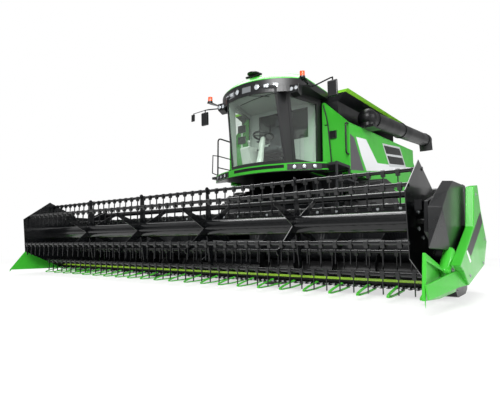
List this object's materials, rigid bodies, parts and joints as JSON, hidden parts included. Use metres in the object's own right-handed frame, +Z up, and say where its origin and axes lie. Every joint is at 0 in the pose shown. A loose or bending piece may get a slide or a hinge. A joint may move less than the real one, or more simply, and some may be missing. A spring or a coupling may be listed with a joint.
{
  "type": "combine harvester",
  "caption": "Wheeled grain combine with a wide cutting header, tined pickup reel, cab, grain tank, unloading tube and steered rear axle.",
  "frame": {"origin": "on the ground under the middle of the whole machine", "axes": "+Z up, the header at the front towards -Y, the machine's left side towards +X"},
  "size_m": [7.68, 10.28, 3.8802],
  "materials": {
    "green_paint": "gloss leaf-green enamel on pressed sheet",
    "black_paint": "satin black enamel on folded sheet and tube",
    "dark_steel": "dark grey chassis paint",
    "bare_steel": "worked steel, bright where it rubs",
    "engine_grey": "painted casting",
    "rubber": "moulded rubber",
    "tyre": "tyre rubber",
    "rim_paint": "light grey wheel enamel",
    "glass": "tinted safety glass",
    "black_plastic": "black moulded plastic and cab steel",
    "grey_plastic": "light grey cab moulding",
    "amber": "amber lens",
    "lamp_lens": "clear lamp lens in a dark housing",
    "seat_fabric": "dark woven seat cloth"
  },
  "bodies": {
    "machine": {"frame": "dark_steel", "front_axle": "dark_steel", "rear_axle": "dark_steel", "thresher_body": "dark_steel", "body_sheets": "green_paint", "lower_shields": "green_paint", "belt_drives": "dark_steel", "engine_block": "engine_grey", "rear_hood": "green_paint", "straw_hood": "green_paint", "grain_tank": "black_paint", "tank_extension": "black_paint", "auger_turret": "black_paint", "cab_base": "green_paint", "cab_frame": "black_plastic", "cab_glass": "glass", "roof_visor": "black_plastic", "cab_roof": "green_paint", "work_lamps": "lamp_lens", "beacons": "amber", "driver_seat": "seat_fabric", "cab_controls": "grey_plastic", "platform": "dark_steel", "handrails": "black_paint", "mirrors": "black_plastic"},
    "header": {"header_frame": "black_paint", "cutter_bar": "black_paint", "crop_lifters": "green_paint", "dividers": "green_paint", "end_covers": "green_paint", "feeder_house": "black_paint"},
    "knife": {"knife": "bare_steel"},
    "intake_auger": {"intake_auger": "black_paint"},
    "reel_arms": {"reel_arms": "black_paint"},
    "reel_carriers": {"reel_carriers": "black_paint"},
    "reel": {"reel": "black_paint"},
    "bat_1": {"bat_1": "black_paint"},
    "bat_2": {"bat_2": "black_paint"},
    "bat_3": {"bat_3": "black_paint"},
    "bat_4": {"bat_4": "black_paint"},
    "bat_5": {"bat_5": "black_paint"},
    "bat_6": {"bat_6": "black_paint"},
    "lift_barrels": {"lift_barrels": "black_paint"},
    "lift_rods": {"lift_rods": "bare_steel"},
    "front_wheel_left": {"tyre_front_left": "tyre", "rim_front_left": "rim_paint"},
    "front_wheel_right": {"tyre_front_right": "tyre", "rim_front_right": "rim_paint"},
    "knuckle_left": {"knuckle_left": "dark_steel"},
    "knuckle_right": {"knuckle_right": "dark_steel"},
    "rear_wheel_left": {"tyre_rear_left": "tyre", "rim_rear_left": "rim_paint"},
    "rear_wheel_right": {"tyre_rear_right": "tyre", "rim_rear_right": "rim_paint"},
    "unload_auger": {"unload_tube": "black_paint", "unload_spout": "rubber"},
    "cab_door": {"door_frame": "black_plastic", "door_glass": "glass"},
    "side_panel_left": {"side_panel_left": "green_paint"},
    "side_panel_right": {"side_panel_right": "green_paint"}
  },
  "joints": [
    {"name": "header_lift", "type": "hinge", "parent": "machine", "child": "header", "pos_m": [0, -1.216, 1.75], "axis": [-1, 0, 0], "range_deg": [0, 18]},
    {"name": "knife_stroke", "type": "slide", "parent": "header", "child": "knife", "axis": [1, 0, 0], "range_m": [-0.0381, 0.0381]},
    {"name": "auger_spin", "type": "hinge", "parent": "header", "child": "intake_auger", "pos_m": [0, -3.316, 0.48], "axis": [-1, 0, 0], "continuous": true},
    {"name": "reel_lift", "type": "hinge", "parent": "header", "child": "reel_arms", "pos_m": [0, -3.016, 1.2], "axis": [-1, 0, 0], "range_deg": [0, 25]},
    {"name": "reel_shift", "type": "slide", "parent": "reel_arms", "child": "reel_carriers", "axis": [0, -1, 0], "range_m": [0, 0.35]},
    {"name": "reel_spin", "type": "hinge", "parent": "reel_carriers", "child": "reel", "pos_m": [0, -4.266, 0.78], "axis": [1, 0, 0], "continuous": true},
    {"name": "bat_1_spin", "type": "hinge", "parent": "reel", "child": "bat_1", "pos_m": [0, -4.21164, 1.29715], "axis": [1, 0, 0], "continuous": true},
    {"name": "bat_2_spin", "type": "hinge", "parent": "reel", "child": "bat_2", "pos_m": [0, -4.68669, 1.08565], "axis": [1, 0, 0], "continuous": true},
    {"name": "bat_3_spin", "type": "hinge", "parent": "reel", "child": "bat_3", "pos_m": [0, -4.74104, 0.5685], "axis": [1, 0, 0], "continuous": true},
    {"name": "bat_4_spin", "type": "hinge", "parent": "reel", "child": "bat_4", "pos_m": [0, -4.32036, 0.26285], "axis": [1, 0, 0], "continuous": true},
    {"name": "bat_5_spin", "type": "hinge", "parent": "reel", "child": "bat_5", "pos_m": [0, -3.84531, 0.47435], "axis": [1, 0, 0], "continuous": true},
    {"name": "bat_6_spin", "type": "hinge", "parent": "reel", "child": "bat_6", "pos_m": [0, -3.79096, 0.9915], "axis": [1, 0, 0], "continuous": true},
    {"name": "barrels_turn", "type": "hinge", "parent": "machine", "child": "lift_barrels", "pos_m": [0, -0.826, 0.7], "axis": [-1, 0, 0], "range_deg": [0, 14.5]},
    {"name": "rods_slide", "type": "slide", "parent": "lift_barrels", "child": "lift_rods", "axis": [0, -0.9911, -0.133], "range_m": [0, 0.34]},
    {"name": "front_wheel_left_spin", "type": "hinge", "parent": "machine", "child": "front_wheel_left", "pos_m": [1.55, -0.316, 0.93], "axis": [1, 0, 0], "continuous": true},
    {"name": "front_wheel_right_spin", "type": "hinge", "parent": "machine", "child": "front_wheel_right", "pos_m": [-1.55, -0.316, 0.93], "axis": [1, 0, 0], "continuous": true},
    {"name": "steer_left", "type": "hinge", "parent": "machine", "child": "knuckle_left", "pos_m": [1.04, 3.584, 0.65], "axis": [0, 0, 1], "range_deg": [-35, 35]},
    {"name": "steer_right", "type": "hinge", "parent": "machine", "child": "knuckle_right", "pos_m": [-1.04, 3.584, 0.65], "axis": [0, 0, 1], "range_deg": [-35, 35]},
    {"name": "rear_wheel_left_spin", "type": "hinge", "parent": "knuckle_left", "child": "rear_wheel_left", "pos_m": [1.4, 3.584, 0.65], "axis": [1, 0, 0], "continuous": true},
    {"name": "rear_wheel_right_spin", "type": "hinge", "parent": "knuckle_right", "child": "rear_wheel_right", "pos_m": [-1.4, 3.584, 0.65], "axis": [1, 0, 0], "continuous": true},
    {"name": "unload_swing", "type": "hinge", "parent": "machine", "child": "unload_auger", "pos_m": [1.48, -0.316, 3.16], "axis": [0, 0, -1], "range_deg": [0, 100]},
    {"name": "door_hinge", "type": "hinge", "parent": "machine", "child": "cab_door", "pos_m": [0.85225, -1.287, 2.7], "axis": [0, 0, 1], "range_deg": [0, 80]},
    {"name": "panel_left_lift", "type": "hinge", "parent": "machine", "child": "side_panel_left", "pos_m": [1.45, -1.18, 2.84189], "axis": [0, -0.998, -0.0628], "range_deg": [0, 70]},
    {"name": "panel_right_lift", "type": "hinge", "parent": "machine", "child": "side_panel_right", "pos_m": [-1.45, -1.18, 2.84189], "axis": [0, 0.998, 0.0628], "range_deg": [0, 70]}
  ],
  "couplings": [
    {"joint": "bat_1_spin", "follows": "reel_spin", "ratio": -1},
    {"joint": "bat_2_spin", "follows": "reel_spin", "ratio": -1},
    {"joint": "bat_3_spin", "follows": "reel_spin", "ratio": -1},
    {"joint": "bat_4_spin", "follows": "reel_spin", "ratio": -1},
    {"joint": "bat_5_spin", "follows": "reel_spin", "ratio": -1},
    {"joint": "bat_6_spin", "follows": "reel_spin", "ratio": -1},
    {"joint": "barrels_turn", "follows": "header_lift", "ratio": 0.77455},
    {"joint": "rods_slide", "follows": "header_lift", "m_per_rad": 1.0508},
    {"joint": "steer_right", "follows": "steer_left", "ratio": 1}
  ]
}
